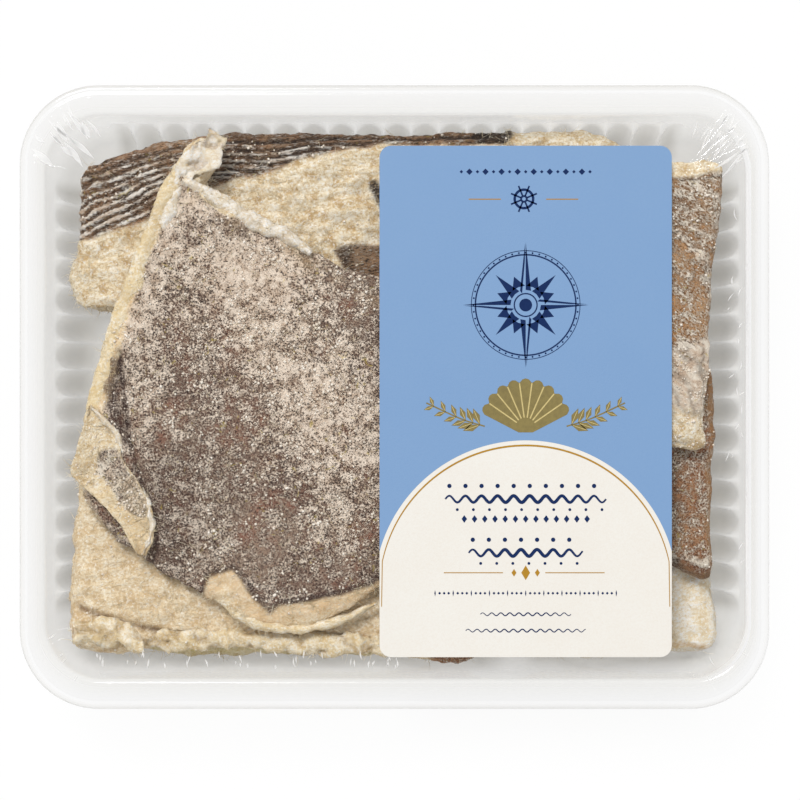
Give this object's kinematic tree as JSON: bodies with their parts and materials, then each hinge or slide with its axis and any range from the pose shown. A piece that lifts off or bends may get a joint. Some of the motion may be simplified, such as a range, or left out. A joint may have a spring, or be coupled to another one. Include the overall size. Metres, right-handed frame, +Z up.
{
  "type": "tray pack of salted dried cod",
  "caption": "Clear ribbed tray of stacked salted dried cod flanks, sealed with a clear film that carries a paper label.",
  "frame": {"origin": "middle of the tray's flat underside", "axes": "+X along the tray's long side towards the labelled end, +Y across it towards the ribbed back wall, +Z up out of the tray"},
  "size_m": [0.2572, 0.214, 0.0431],
  "materials": {
    "tray_plastic": "gloss",
    "lid_film": "gloss",
    "label_paper": "matte",
    "cod_skin": "matte",
    "cod_flesh": "matte"
  },
  "bodies": {
    "root": {"tray": "tray_plastic", "film": "lid_film", "label": "label_paper", "flank_main": "cod_skin", "flank_right_top": "cod_skin", "flank_right_low": "cod_skin", "flank_back": "cod_flesh", "flank_left_low": "cod_flesh", "flank_mid_right": "cod_flesh", "flank_mid_left": "cod_flesh", "flank_mid_back": "cod_flesh", "flank_floor_left": "cod_flesh", "flank_floor_right": "cod_skin"}
  },
  "joints": []
}
